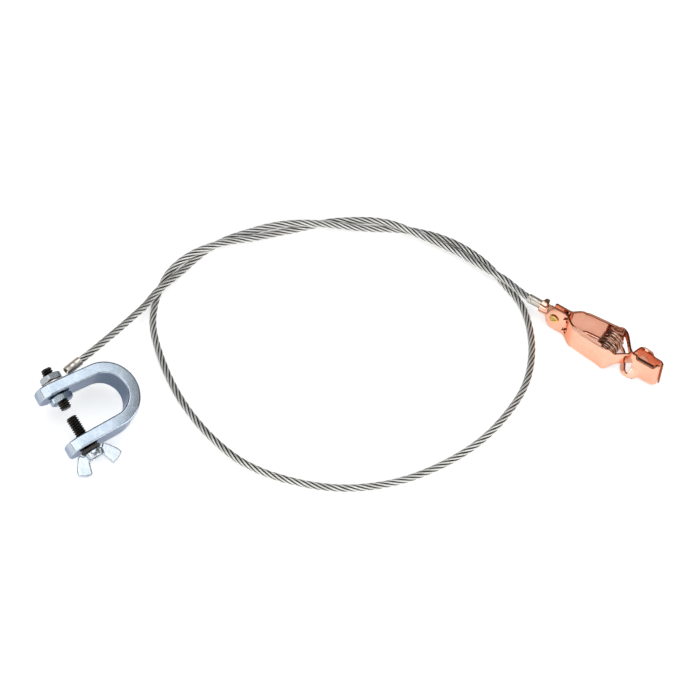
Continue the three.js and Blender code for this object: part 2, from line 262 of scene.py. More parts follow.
# ---- meshes, in mm, from lists of points and faces
def add(name, shape, place, material, body, nodes=(), flat_faces=True, sharp=35.0, rim=None):
    """The shape as an object of the scene, in metres in the row frame, riding on a body.
    Edges from sharp degrees on are hard. rim is a number per vertex, for the material's cut colour, which is
    painted shade."""
    points, faces = shape
    points = np.asarray(points, float)
    points = (points @ place[:3, :3].T + place[:3, 3]) * MM
    mesh = bpy.data.meshes.new(name)
    mesh.from_pydata([tuple(p) for p in points], [], [tuple(int(i) for i in f) for f in faces])
    mesh.validate()
    mesh.materials.append(material)
    if rim is not None:
        mesh.attributes.new("rim", "FLOAT", "POINT").data.foreach_set("value", np.asarray(rim, np.float32))
    mesh.shade_smooth()
    mesh.set_sharp_from_angle(angle=math.radians(sharp))
    piece = bpy.data.objects.new(name, mesh)
    bpy.context.scene.collection.objects.link(piece)
    if flat_faces:
        normals = piece.modifiers.new("flat_faces", "WEIGHTED_NORMAL")
        normals.keep_sharp = True
    if body:
        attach(piece, body)
    if nodes:
        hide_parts(*nodes)
    return piece


def joined(*shapes):
    """Several shapes as one."""
    points, faces = [], []
    for p, f in shapes:
        start = len(points)
        points.extend(np.asarray(p).tolist())
        faces.extend([[i + start for i in face] for face in f])
    return np.array(points), faces


def unit(v):
    v = np.asarray(v, float)
    return v / max(np.linalg.norm(v), 1e-12)


def axes_along(axis, zero=None):
    """Two directions across the axis: u, and v = axis x u."""
    axis = unit(axis)
    if zero is None:
        zero = (0, 0, 1) if abs(axis[2]) < 0.9 else (1, 0, 0)
    u = unit(np.asarray(zero, float) - axis * np.dot(zero, axis))
    return u, np.cross(axis, u)


def lathe(start, axis, profile, sides=64, closed=False, radius=None):
    """profile: (height along axis, radius). radius, if given, maps (height, radius, angle) to a new radius."""
    start, axis = np.asarray(start, float), unit(axis)
    u, v = axes_along(axis)
    angles = np.arange(sides) * 2 * math.pi / sides
    points, rings = [], []
    for h, r in profile:
        if r <= 0 and not closed:
            rings.append([len(points)])
            points.append(start + axis * h)
            continue
        ring = []
        for a in angles:
            rr = radius(h, r, a) if radius else r
            ring.append(len(points))
            points.append(start + axis * h + (u * math.cos(a) + v * math.sin(a)) * rr)
        rings.append(ring)
    pairs = list(zip(rings, rings[1:])) + ([(rings[-1], rings[0])] if closed else [])
    faces = []
    for a, b in pairs:
        for i in range(sides):
            j = (i + 1) % sides
            if len(a) == 1:
                faces.append([a[0], b[j], b[i]])
            elif len(b) == 1:
                faces.append([a[i], a[j], b[0]])
            else:
                faces.append([a[i], a[j], b[j], b[i]])
    return np.array(points), faces


def rounded_loop(corners, radius=0.5, step=0.6, arc=5):
    """A closed outline with its corners rounded. A corner may carry its own radius as a third number."""
    pts = [np.array(c[:2], float) for c in corners]
    radii = [c[2] if len(c) > 2 else radius for c in corners]
    n, out = len(pts), []
    for i in range(n):
        p, before, after = pts[i], pts[i - 1], pts[(i + 1) % n]
        d1, d2 = unit(p - before), unit(after - p)
        bend = math.acos(max(-1.0, min(1.0, float(np.dot(d1, d2)))))
        reach = radii[i] * math.tan(bend / 2)
        reach = min(reach, 0.45 * np.linalg.norm(p - before), 0.45 * np.linalg.norm(after - p))
        if reach < 1e-3:
            out.append(p)
            continue
        a, b = p - d1 * reach, p + d2 * reach
        count = max(2, int(math.ceil(arc * bend / (math.pi / 2))))
        for k in range(count + 1):
            t = k / count
            out.append((1 - t) ** 2 * a + 2 * t * (1 - t) * p + t * t * b)
    full = []
    for i, p in enumerate(out):
        q = out[(i + 1) % len(out)]
        gap = np.linalg.norm(q - p)
        if gap < 1e-4:
            continue
        parts = max(1, int(math.ceil(gap / step)))
        full.extend(p + (q - p) * k / parts for k in range(parts))
    return np.array(full)


def circle(x, y, r, sides=40):
    a = np.arange(sides) * 2 * math.pi / sides
    return np.stack([x + r * np.cos(a), y + r * np.sin(a)], 1)


def area_of(loop):
    x, y = loop[:, 0], loop[:, 1]
    return 0.5 * float(np.sum(x * np.roll(y, -1) - np.roll(x, -1) * y))


def inset(loop, distance):
    """The loop moved to its left."""
    d = np.roll(loop, -1, 0) - loop
    d /= np.maximum(np.linalg.norm(d, axis=1), 1e-9)[:, None]
    before = np.roll(d, 1, 0)
    n1, n2 = np.stack([-before[:, 1], before[:, 0]], 1), np.stack([-d[:, 1], d[:, 0]], 1)
    m = n1 + n2
    m /= np.maximum(np.linalg.norm(m, axis=1), 1e-9)[:, None]
    scale = distance / np.maximum((m * n1).sum(1), 0.6)
    return loop + m * scale[:, None]


def inside(points, loop):
    """Which points lie inside the loop."""
    x, y = points[:, 0][:, None], points[:, 1][:, None]
    x1, y1 = loop[:, 0], loop[:, 1]
    x2, y2 = np.roll(x1, -1), np.roll(y1, -1)
    crosses = ((y1 > y) != (y2 > y)) & (x < (x2 - x1) * (y - y1) / np.where(y2 == y1, 1e-12, y2 - y1) + x1)
    return crosses.sum(1) % 2 == 1


def within(points, borders):
    """Which points lie inside the first loop and outside the others."""
    keep = inside(points, borders[0])
    for border in borders[1:]:
        keep &= ~inside(points, border)
    return keep


def sheet_metal(outer, holes, thickness, edge, surface, grid=(1.0, 1.5), edge_steps=3, hole_edge=None):
    """A plate cut to a flat outline with holes, its edges rounded, then laid on a curved surface.
    surface maps flat points (n x 2) to the middle of the plate (n x 3)."""
    loops = [outer if area_of(outer) > 0 else outer[::-1]]
    loops += [h[::-1] if area_of(h) > 0 else h for h in holes]
    edges = [edge] + [hole_edge or edge] * len(holes)
    half = thickness / 2
    flat, height, rings = [], [], []
    count = 0
    for loop, e in zip(loops, edges):
        mine = []
        for side in (1, -1):
            steps = [k / edge_steps * math.pi / 2 for k in range(edge_steps + 1)]
            for a in (reversed(steps) if side > 0 else steps):
                flat.append(inset(loop, e * (1 - math.cos(a))))
                height.append(np.full(len(loop), side * (half - e + e * math.sin(a))))
                mine.append(range(count, count + len(loop)))
                count += len(loop)
        rings.append(mine)
    faces = []
    for mine in rings:
        for a, b in zip(mine, mine[1:]):
            n = len(a)
            faces += [[a[i], b[i], b[(i + 1) % n], a[(i + 1) % n]] for i in range(n)]
    borders = [inset(loop, e) for loop, e in zip(loops, edges)]
    lo, hi = borders[0].min(0), borders[0].max(0)
    xs = np.arange(lo[0] + grid[0] / 2, hi[0], grid[0])
    ys = np.arange(lo[1] + grid[1] / 2, hi[1], grid[1])
    free = np.stack(np.meshgrid(xs, ys, indexing="ij"), -1).reshape(-1, 2)
    all_border = np.concatenate(borders)
    gap = np.array([np.min(np.sum((all_border - p) ** 2, 1)) for p in free])
    free = free[within(free, borders) & (gap > (0.45 * min(grid)) ** 2)]
    flat_in = np.concatenate([all_border, free])
    links, at = [], 0
    for border in borders:
        n = len(border)
        links += [(at + i, at + (i + 1) % n) for i in range(n)]
        at += n
    out_points, _, triangles, sources, _, _ = delaunay_2d_cdt(
        [Vector(p) for p in flat_in], links, [], 0, 1e-7)
    source = [s[0] if s else -1 for s in sources]
    flat_out = np.array([[p.x, p.y] for p in out_points])
    tri = np.array([t for t in triangles if len(t) == 3])
    tri = tri[within(flat_out[tri].mean(1), borders)]
    maps = []
    for face in (0, -1):
        ids = [np.array(mine[face]) for mine in rings]
        maps.append(np.concatenate([*ids, np.arange(count, count + len(free))]))
        flat.append(free)
        height.append(np.full(len(free), half if face == 0 else -half))
        count += len(free)
    for t in tri:
        s = [source[i] for i in t]
        if min(s) < 0:
            continue
        a, b, c = s
        p, q, r = flat_in[a], flat_in[b], flat_in[c]
        if np.cross(q - p, r - p) < 0:
            b, c = c, b
        faces.append([maps[0][a], maps[0][b], maps[0][c]])
        faces.append([maps[1][a], maps[1][c], maps[1][b]])
    flat, height = np.concatenate(flat), np.concatenate(height)
    eps = 0.02
    middle = surface(flat)
    along = surface(flat + [eps, 0]) - surface(flat - [eps, 0])
    cross = surface(flat + [0, eps]) - surface(flat - [0, eps])
    normal = np.cross(along, cross)
    normal /= np.maximum(np.linalg.norm(normal, axis=1), 1e-12)[:, None]
    return middle + normal * height[:, None], faces


def rim_of(points, faces):
    """1 for the vertices of a sheet's cut edges, 0 elsewhere: those that only lie in four-sided faces."""
    rim = np.ones(len(points))
    for face in faces:
        if len(face) == 3:
            rim[list(face)] = 0
    return rim


def threaded_rod(start, axis, length, radius, pitch, chamfer=0.6):
    """A rod with a real right-hand V thread and chamfered ends."""
    rows_per_turn, depth_by_pitch, least_r = 7, 0.55, 0.3
    rows = int(round(length / (pitch / rows_per_turn)))

    def thread(h, r, a):
        wave = abs(((h / pitch - a / (2 * math.pi)) % 1.0) * 2 - 1)
        wave = min(1.0, max(0.0, wave * 1.25 - 0.1))  # small flats on the crests and in the roots
        return min(r - depth_by_pitch * pitch * wave, max(r - chamfer + min(h, length - h), least_r))

    rings = [(length * k / rows, radius) for k in range(rows + 1)]
    return lathe(start, axis, [(0, 0), *rings, (length, 0)], 40, radius=thread)


def hex_nut(start, axis, zero, across, thickness, bore, turn=0, sides=96):
    """A hexagon nut with its corners cut by a cone on both faces, and a countersunk hole.
    It is turned by so many degrees from having a corner at zero."""
    flat_r = across / 2
    sink, cone, corner = 0.45, -1.0, -2.0  # the countersink's depth, and marks for points set by the cone cut

    def side(a):
        off = ((math.degrees(a) - turn) % 60) - 30
        return min(flat_r / math.cos(math.radians(off)), flat_r * 1.142)

    face_r = flat_r * 0.955
    profile = [(sink, bore), (thickness - sink, bore), (thickness, bore + sink), (thickness, face_r),
               (thickness, cone), (thickness, corner), (0.0, corner), (0.0, cone), (0.0, face_r),
               (0.0, bore + sink)]
    start, axis = np.asarray(start, float), unit(axis)
    u, v = axes_along(axis, zero)
    points, faces = [], []
    for i in range(sides):
        a = 2 * math.pi * i / sides
        reach = side(a)
        drop = (reach - face_r) * math.tan(math.radians(30))
        for h, r in profile:
            if r == cone:
                r, h = (face_r + reach) / 2, (h - drop / 2 + 0.03 if h > 0 else drop / 2 - 0.03)
            elif r == corner:
                r, h = reach, (h - drop if h > 0 else drop)
            points.append(start + axis * h + (u * math.cos(a) + v * math.sin(a)) * r)
    m = len(profile)
    for i in range(sides):
        j = (i + 1) % sides
        for k in range(m):
            q = (k + 1) % m
            faces.append([i * m + k, j * m + k, j * m + q, i * m + q])
    return np.array(points), [f[::-1] for f in faces]


# ---- the rope (mm, row frame)
ROPE_D = 3.9
# from the lug down to the table (x, y, z)
LEAD = [
    (-136.9, -40.3, 23), (-132.6, -35.1, 23.2), (-127.5, -26.8, 21.2), (-121.7, -16, 17.4),
    (-115.5, -3.4, 12.6), (-109.6, 8.9, 8.2)]
# where the two runs lie round each other (x, y, half turns)
PAIR = [
    (-104.6, 20.2, 0.5), (-97.4, 35, 1), (-85.2, 50, 1.5), (-72.2, 59.5, 1.78), (-59.9, 65.1, 2),
    (-45.9, 71.1, 2.25), (-32.2, 75.4, 2.5), (-18.9, 78.6, 2.8), (-7.1, 79.9, 3), (4.8, 80.8, 3.25),
    (16.2, 80.9, 3.5), (33.3, 77.6, 3.85), (50.5, 71.5, 4), (65.7, 62.5, 3.88), (78.7, 51.7, 3.5)]
# the open loop on the table (x, y)
LOOP = [
    (88.2, 39.6), (93.8, 23.9), (95.6, 5.9), (93.1, -12.3), (85.2, -30.5), (72.2, -49.6),
    (53.6, -66.7), (30.4, -80.3), (3.8, -87.3), (-23.4, -86.1), (-46.7, -79), (-66.3, -64.8),
    (-83.7, -44.6), (-97, -20.6), (-104.5, 1.6)]
LOOP_Z = 2.0
TAIL = [(85.2, 45.6, 7.4), (90.9, 40, 9)]
PAIR_Z, PAIR_R = 4.18, 2.15  # height of the pair's middle, and the runs' distance from it
TURN_WEIGHT = 30.0  # mm that a half turn counts for in the spacing of the keys
ROPE_IN_LUG, ROPE_IN_SLEEVE = 4.0, 4.0  # how far the rope goes on inside the barrels
STRAND_LAY = 27.0  # length of rope in which a strand goes round once


def smooth_path(keys, samples):
    """Centripetal Catmull-Rom through the keys: samples points, evenly spread over the key intervals."""
    keys = np.asarray(keys, float)
    n = len(keys)
    out = []
    for t in np.linspace(0, n - 1, samples):
        i = min(int(t), n - 2)
        w = t - i
        p1, p2 = keys[i], keys[i + 1]
        p0 = keys[i - 1] if i > 0 else 2 * keys[0] - keys[1]
        p3 = keys[i + 2] if i + 2 < n else 2 * keys[-1] - keys[-2]
        d0, d1, d2 = (max(np.sum((a - b) ** 2) ** 0.25, 1e-4) for a, b in ((p0, p1), (p1, p2), (p2, p3)))
        t1 = ((p1 - p0) / d0 - (p2 - p0) / (d0 + d1) + (p2 - p1) / d1) * d1
        t2 = ((p2 - p1) / d1 - (p3 - p1) / (d1 + d2) + (p3 - p2) / d2) * d1
        c2 = -3 * p1 + 3 * p2 - 2 * t1 - t2
        c3 = 2 * p1 - 2 * p2 + t1 + t2
        out.append(p1 + t1 * w + c2 * w * w + c3 * w ** 3)
    return np.array(out)


def lengths(points):
    """The length along the line up to each of its points."""
    return np.concatenate([[0], np.cumsum(np.linalg.norm(np.diff(points, axis=0), axis=1))])


def evenly(points, step):
    """The line in equal steps, and the length along it at each point."""
    points = np.asarray(points, float)
    along = lengths(points)
    at = np.linspace(0, along[-1], max(2, int(round(along[-1] / step)) + 1))
    return np.stack([np.interp(at, along, points[:, k]) for k in range(points.shape[1])], 1), at


def run(side):
    """One of the two runs of the pair."""
    keys = [(x, y, t * TURN_WEIGHT) for x, y, t in PAIR]
    at = smooth_path(keys, 3 * (len(keys) - 1) + 1)
    out = []
    for i, p in enumerate(at):
        way = at[min(i + 1, len(at) - 1)] - at[max(i - 1, 0)]
        way = unit([way[0], way[1], 0])
        turned = p[2] / TURN_WEIGHT * math.pi
        off = side * PAIR_R * math.cos(turned)
        out.append((p[0] - way[1] * off, p[1] + way[0] * off, PAIR_Z + side * PAIR_R * math.sin(turned)))
    return out


def rope_route():
    """The rope's whole middle line, from inside the lug's barrel to inside the sleeve."""
    keys = LEAD + run(1) + [(x, y, LOOP_Z) for x, y in LOOP] + run(-1) + TAIL
    line = smooth_path(keys, 24 * len(keys)) + SHIFT
    start, end = unit(line[0] - line[1]), unit(line[-1] - line[-2])
    return np.concatenate([[line[0] + start * ROPE_IN_LUG], line, [line[-1] + end * ROPE_IN_SLEEVE]])


def ring_faces(rings, sides):
    """The four-sided faces between rings of points."""
    return [[k * sides + i, k * sides + (i + 1) % sides, (k + 1) * sides + (i + 1) % sides, (k + 1) * sides + i]
            for k in range(rings - 1) for i in range(sides)]


def rope_shape(line, ring_step=1.0, per_strand=16):
    """Six round strands laid right-handed round a core, as one closed skin."""
    line, along = evenly(line, ring_step)
    tangent = np.gradient(line, axis=0)
    tangent /= np.linalg.norm(tangent, axis=1)[:, None]
    normal = unit(np.cross(tangent[0], [0, 0, 1]))
    normals = []
    for t in tangent:
        normal = unit(normal - t * np.dot(normal, t))
        normals.append(normal)
    normals = np.array(normals)
    sideways = np.cross(tangent, normals)
    radius = ROPE_D / 2
    strand_r = radius / 3
    centre_r = radius - strand_r
    valley = 0.53  # the reach that counts as height 0, by the rope's radius
    section, local_angle, lift = [], [], []
    # the skin follows each strand's own circle from one valley to the next
    for s in range(6):
        for k in range(per_strand):
            local = math.radians(-118 + 236 * (k + 0.5) / per_strand)
            x, y = centre_r + strand_r * math.cos(local), strand_r * math.sin(local)
            turned = s * math.pi / 3
            section.append((x * math.cos(turned) - y * math.sin(turned),
                            x * math.sin(turned) + y * math.cos(turned)))
            local_angle.append(local)
            lift.append((math.hypot(x, y) / radius - valley) / (1 - valley))
    section = np.array(section)
    n, m = len(line), len(section)
    twist = along * 2 * math.pi / STRAND_LAY
    c, s = np.cos(twist)[:, None], np.sin(twist)[:, None]
    a = section[:, 0] * c - section[:, 1] * s
    b = section[:, 0] * s + section[:, 1] * c
    points = line[:, None, :] + normals[:, None, :] * a[..., None] + sideways[:, None, :] * b[..., None]
    points = points.reshape(-1, 3)
    faces = ring_faces(n, m)
    ends = np.array([line[0], line[-1]])
    points = np.concatenate([points, ends])
    for j in range(m):
        q = (j + 1) % m
        faces.append([n * m, q, j])
        faces.append([n * m + 1, (n - 1) * m + j, (n - 1) * m + q])
    attributes = {
        "strand_angle": np.concatenate([np.tile(local_angle, n), [0, 0]]),
        "rope_length": np.concatenate([np.repeat(along, m), [0, along[-1]]]),
        "strand_height": np.concatenate([np.tile(lift, n), [0, 0]]),
    }
    return (points, faces), line, attributes


route = rope_route()
shape, rope_line, rope_values = rope_shape(route)
rope = add("wire_rope_strands", shape, WORLD, rope_steel, "lead", ["wire_rope"],
           flat_faces=False, sharp=180)
for key, values in rope_values.items():
    attribute = rope.data.attributes.new(key, "FLOAT", "POINT")
    attribute.data.foreach_set("value", np.asarray(values, np.float32))

# ---- screw clamp (mm, its own frame)
STRAP_T, STRAP_W, BEND_R, SPLAY = 6.35, 19.0, 14.75, 2.1
ARM = 30.9  # from the end of the bend to the strap's end
CROWN, STRETCH = 0.24, 0.5  # how far the edge faces fall away at their sides, and outside the bend
SCREW_R, HOLE_R, STUD_ALONG, SCREW_ALONG, PITCH = 3.1, 3.4, 19.4, 19.6, 1.27
STUD_IN, STUD_LONG, SCREW_IN, SCREW_PAST_HUB = 11.0, 23.2, 14.9, 3.4
NUT_AF, NUT_T, NUT_BORE, LOCKNUT_AF, LOCKNUT_T = 11.1, 3.5, 3.12, 9.8, 2.0
LUG_T, BARREL_R, BARREL_BORE = 1.0, 2.55, 2.08
GAP = 0.3  # between parts that touch
BEND = math.radians(90 - SPLAY)
HALF_BEND = BEND * BEND_R
UPPER_OUT = np.array([math.cos(BEND), math.sin(BEND), 0])
UPPER_WAY = np.array([-math.sin(BEND), math.cos(BEND), 0])
LOWER_OUT, LOWER_WAY = UPPER_OUT * [1, -1, 1], UPPER_WAY * [1, -1, 1]


def on_upper(along, above):
    """A point on the upper arm: so far from the bend, so far outside the strap's middle."""
    return UPPER_OUT * (BEND_R + above) + UPPER_WAY * along


def on_lower(along, above):
    """The same on the lower arm."""
    return LOWER_OUT * (BEND_R + above) + LOWER_WAY * along


def step_up(x, a, b):
    """0 up to a, 1 from b on, smooth between them."""
    t = np.clip((np.asarray(x, float) - a) / (b - a), 0, 1)
    return t * t * (3 - 2 * t)


def strap_surface(flat):
    """Flat blank to bent strap. The first number is 0 at the bend's middle and negative on the upper arm."""
    s, z = flat[:, 0], flat[:, 1]
    a = -np.clip(s, -HALF_BEND, HALF_BEND) / BEND_R
    out = np.stack([np.cos(a), np.sin(a), np.zeros_like(a)], 1) * BEND_R
    out += UPPER_WAY * np.maximum(-s - HALF_BEND, 0)[:, None]
    out += LOWER_WAY * np.maximum(s - HALF_BEND, 0)[:, None]
    out[:, 2] = z
    return out


def crowned(points, faces):
    """The strap's two edge faces crowned across the bar, and lower outside the bend, where the bar stretched.
    Also gives painted shade per vertex: the inner face of the bend is painted darker."""
    reach, count = HALF_BEND + 31, 900
    centre_line = strap_surface(np.stack([np.linspace(-reach, reach, count), np.zeros(count)], 1))
    nearest = np.array([np.argmin(np.sum((centre_line[:, :2] - p[:2]) ** 2, 1)) for p in points])
    middle = centre_line[nearest]
    above = np.linalg.norm(points[:, :2] - middle[:, :2], axis=1)
    way = np.gradient(centre_line, axis=0)[nearest]
    outside = np.sign(way[:, 0] * (points[:, 1] - middle[:, 1]) - way[:, 1] * (points[:, 0] - middle[:, 0]))
    t = np.clip(above * outside / (STRAP_T / 2), -1, 1)
    from_top = np.abs(nearest / (count - 1) * 2 - 1) * reach
    in_bend = 1 - step_up(from_top, HALF_BEND - 8, HALF_BEND + 8)
    drop = CROWN * t ** 2 + STRETCH * in_bend * (t + 1) / 2
    near_edge = np.clip((np.abs(points[:, 2]) - STRAP_W / 2 + 1.5) / 1.5, 0, 1)
    points[:, 2] -= np.sign(points[:, 2]) * drop * near_edge
    # painted shade on the inner face of the bend, fading out towards the edge faces
    painted_shade = 0.75 * in_bend * step_up(-t, 0.80, 0.98) * (1 - near_edge)
    return points, faces, painted_shade


def strap_blank():
    """The bar's flat outline, with rounded ends."""
    tip = HALF_BEND + ARM
    w = STRAP_W / 2
    end = [(tip - 5.4, w, 0.6), (tip - 1.7, 6.7, 3.0), (tip - 0.4, 3.8, 4.0), (tip, 0, 6.0)]
    outline = [(x, -y, r) for x, y, r in end] + [(x, y, r) for x, y, r in end[-2::-1]]
    outline += [(-x, y, r) for x, y, r in end] + [(-x, -y, r) for x, y, r in end[-2::-1]]
    return rounded_loop(outline, step=0.8)


strap_holes = [circle(-(HALF_BEND + STUD_ALONG), 0, HOLE_R), circle(HALF_BEND + SCREW_ALONG, 0, HOLE_R)]
# the strap, with painted shade on the inner face of its bend
*strap_shape, painted_bend_shade = crowned(*sheet_metal(
    strap_blank(), strap_holes, STRAP_T, 0.85, strap_surface, grid=(0.8, 1.2), edge_steps=5, hole_edge=0.4))
add("strap_bar", strap_shape, CLAMP, zinc, "lead", ["strap"], rim=painted_bend_shade)

add("stud_thread", threaded_rod(on_upper(STUD_ALONG, -STUD_IN), UPPER_OUT, STUD_LONG, SCREW_R, PITCH),
    CLAMP, black, "lead", ["stud"])
OUTER_FACE = STRAP_T / 2 + GAP
add("outer_hex_nut",
    hex_nut(on_upper(STUD_ALONG, OUTER_FACE + LUG_T + GAP), UPPER_OUT, -UPPER_WAY, NUT_AF, NUT_T, NUT_BORE, 7.5),
    CLAMP, nut_zinc, "lead", ["outer_nut"])
add("inner_hex_nut",
    hex_nut(on_upper(STUD_ALONG, -OUTER_FACE - NUT_T), UPPER_OUT, -UPPER_WAY, NUT_AF, NUT_T, NUT_BORE, 30),
    CLAMP, dark_zinc, "lead", ["inner_nut"])

HUB_FACE = OUTER_FACE + LOCKNUT_T + GAP
screw_long = SCREW_IN + HUB_FACE + SCREW_PAST_HUB
add("clamp_screw_thread", threaded_rod(on_lower(SCREW_ALONG, -SCREW_IN), LOWER_OUT, screw_long, SCREW_R, PITCH),
    CLAMP, black, "clamp_screw", ["clamp_screw"])
add("lock_hex_nut",
    hex_nut(on_lower(SCREW_ALONG, OUTER_FACE), LOWER_OUT, -LOWER_WAY, LOCKNUT_AF, LOCKNUT_T, NUT_BORE),
    CLAMP, black, "wing", ["lock_nut"])


# lug: a ring under the nut, a tongue and a crimped barrel
def line_surface(line, inward, centre_z=0.0, profile=None):
    """The surface swept by a bent line in x and y. Flat points are (length along the line, height).
    profile(length) gives (flat half width, curvature) of a curl of the edges towards inward."""
    line = np.asarray(line, float)
    along = lengths(line)

    def at(s):
        return np.stack([np.interp(s, along, line[:, k]) for k in range(2)], 1)

    def surface(flat):
        s, z = flat[:, 0], flat[:, 1] - centre_z
        beyond = np.clip(s, None, 0)[:, None] * unit(line[1] - line[0])
        beyond = beyond + np.clip(s - along[-1], 0, None)[:, None] * unit(line[-1] - line[-2])
        d = 0.15
        way = at(s + d) - at(s - d)
        way /= np.maximum(np.linalg.norm(way, axis=1), 1e-9)[:, None]
        inner = np.stack([-way[:, 1], way[:, 0]], 1) * inward
        if profile is None:
            height, lift = z, np.zeros_like(z)
        else:
            flat_half, curve = profile(s)
            curve = np.maximum(curve, 1e-5)
            extra = np.maximum(np.abs(z) - flat_half, 0)
            turned = np.minimum(extra * curve, math.pi / 2)
            rest = np.maximum(extra - turned / curve, 0)
            height = np.sign(z) * (np.minimum(np.abs(z), flat_half) + np.sin(turned) / curve
                                   + rest * np.cos(turned))
            lift = (1 - np.cos(turned)) / curve + rest * np.sin(turned)
        xy = at(s) + beyond + inner * lift[:, None]
        return np.stack([xy[:, 0], xy[:, 1], height + centre_z], 1)

    return surface


def bent(points, radius=1.2, step=0.2):
    """A line through the points with its corners rounded."""
    pts = [np.array(p, float) for p in points]
    out = [pts[0]]
    for before, p, after in zip(pts, pts[1:], pts[2:]):
        d1, d2 = unit(p - before), unit(after - p)
        turned = math.acos(max(-1.0, min(1.0, float(np.dot(d1, d2)))))
        reach = min(radius * math.tan(turned / 2), 0.48 * np.linalg.norm(p - before),
                    0.48 * np.linalg.norm(after - p))
        reach = max(reach, 0.02)
        a, b = p - d1 * reach, p + d2 * reach
        for t in np.linspace(0, 1, 7):
            out.append((1 - t) ** 2 * a + 2 * t * (1 - t) * p + t * t * b)
    out.append(pts[-1])
    return evenly(out, step)[0]


mid = OUTER_FACE + LUG_T / 2
ring_r, tongue_w = 6.2, 2.9
hole_at = ring_r + 0.2
ring_line = [on_upper(along, mid + above)[:2] for along, above in (
    (STUD_ALONG + hole_at, 0), (12.9, 0), (11.6, 0.5), (10.6, 1.6), (9.5, 2.4), (7.0, 3.0))]
ring_length = evenly(bent(ring_line), 0.2)[1][-1]
ring_outline = [(hole_at + ring_r * math.cos(a), ring_r * math.sin(a), 2.0)
                for a in np.radians(np.arange(35, 326, 15))]
ring_outline = rounded_loop([(13.2, tongue_w, 1.5), *ring_outline, (13.2, -tongue_w, 1.5),
                             (ring_length, -2.3, 0.6), (ring_length, 2.3, 0.6)], step=0.6)
lug_ring = sheet_metal(ring_outline, [circle(hole_at, 0, HOLE_R)], LUG_T, 0.25,
                       line_surface(bent(ring_line), 1.0), grid=(0.7, 1.0))
barrel_from, barrel_to = on_upper(10.4, 6.8), on_upper(1.2, 9.0)
barrel_way = unit(barrel_to - barrel_from)
barrel_long = float(np.linalg.norm(barrel_to - barrel_from))


def pressed(centres, depth, width, sides):
    """Dents pressed into a tube: at these heights, on this many sides."""
    def radius(h, r, a):
        dent = sum(math.exp(-((h - c) / width) ** 2) for c in centres)
        return r - depth * dent * (0.5 + 0.5 * math.cos(sides * a))
    return radius


def tube(start, axis, length, outer, inner, crimp=None, sides=48):
    """An open tube with rounded rims."""
    rim, n = 0.18, 14
    outside = [(length * k / n, outer) for k in range(1, n)]
    profile = [(rim, inner), (0.0, inner + rim), (0.0, outer - rim), (rim, outer), *outside,
               (length - rim, outer), (length, outer - rim), (length, inner + rim), (length - rim, inner)]
    return lathe(start, axis, profile, sides, closed=True, radius=crimp)


lug_barrel = tube(barrel_from, barrel_way, barrel_long, BARREL_R, BARREL_BORE,
                  pressed([barrel_long * 0.34, barrel_long * 0.68], 0.28, 1.1, 2), sides=56)
add("ring_lug_body", joined(lug_ring, lug_barrel), CLAMP, tinned, "lead", ["ring_lug"])


# wing nut: a turned hub with two wings, fused by a remesh as a forging is
WING_T = 2.2


def wing_shape():
    # the hub's profile (height, radius), and one wing (out from the axis, along it, corner radius)
    hub = [(0.0, 3.2), (0.0, 4.6), (0.3, 4.9), (1.6, 4.9), (2.9, 4.6), (3.4, 4.5), (3.8, 4.2), (3.8, 3.5),
           (3.3, 3.2)]
    shapes = [lathe(on_lower(SCREW_ALONG, HUB_FACE), LOWER_OUT, hub, 72, closed=True)]
    outline = [(3.8, 0.6, 0.3), (5.9, 0.2, 0.4), (6.4, -1.0, 0.8), (7.7, -1.1, 1.2), (9.8, 1.4, 3),
               (12.5, 5.2, 3), (13.2, 7.8, 0.5), (10.0, 9.9, 4), (6.3, 10.8, 0.5), (4.8, 6, 3), (3.8, 3.2, 0.5)]
    for side in (1, -1):
        def surface(flat, side=side):
            p = on_lower(SCREW_ALONG, HUB_FACE)
            return p - LOWER_WAY * (side * flat[:, :1]) + LOWER_OUT * flat[:, 1:]
        shapes.append(sheet_metal(rounded_loop(outline, step=0.6), [], WING_T, 0.5, surface, grid=(0.8, 0.8)))
    return joined(*shapes)


def outward(piece):
    """Turns every closed body of the mesh face-out."""
    bm = bmesh.new()
    bm.from_mesh(piece.data)
    bmesh.ops.recalc_face_normals(bm, faces=bm.faces)
    bm.to_mesh(piece.data)
    bm.free()


def applied(piece):
    """The piece's mesh with its modifiers worked in."""
    depsgraph = bpy.context.evaluated_depsgraph_get()
    mesh = bpy.data.meshes.new_from_object(piece.evaluated_get(depsgraph))
    old = piece.data
    piece.modifiers.clear()
    piece.data = mesh
    bpy.data.meshes.remove(old)


wing = add("wing_nut_body", wing_shape(), CLAMP, wing_zinc, None, flat_faces=False)
outward(wing)
fuse = wing.modifiers.new("fuse", "REMESH")
fuse.mode = "VOXEL"
fuse.voxel_size = 0.26 * MM
fuse.use_smooth_shade = True
soften = wing.modifiers.new("soften", "SMOOTH")
soften.factor, soften.iterations = 0.5, 5
applied(wing)
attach(wing, "wing")
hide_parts("wing_nut")

# ---- clip (mm, its own frame)
SHEET, SHEET_EDGE, CLIP_H = 1.0, 0.28, 18.0
# middle lines of the two levers' sheets (x from the tail to the nose, y from the near lever to the far one)
CABLE_LINE = [
    (2.0, -2.3), (13, -2.4), (20.6, -2.4), (22.6, -3.1), (25, -5.2), (28.2, -7.3), (33, -8.2), (47.8, -9.6),
    (49.8, -9.1), (51.2, -8), (53.8, -5.5), (56.4, -3.4), (60.5, -0.6), (63.2, 1.9), (65, 2.7), (76.6, 2.4),
    (78, 1.5), (78.7, -0.5)]
FREE_LINE = [
    (12.6, 0.3), (20.6, 0.3), (22.8, 0.4), (25.2, 2.4), (28, 4.8), (31.5, 5.9), (48.4, 7.4), (51.2, 7.3),
    (53.2, 6.3), (55.2, 4.3), (57.6, 1.2), (59.9, -1.7), (61.6, -3.1), (63.4, -3.6), (76, -3.6), (77.4, -2.9),
    (78, -1.6)]
BRASS_AT = (14.7, -4.2, 9.1)
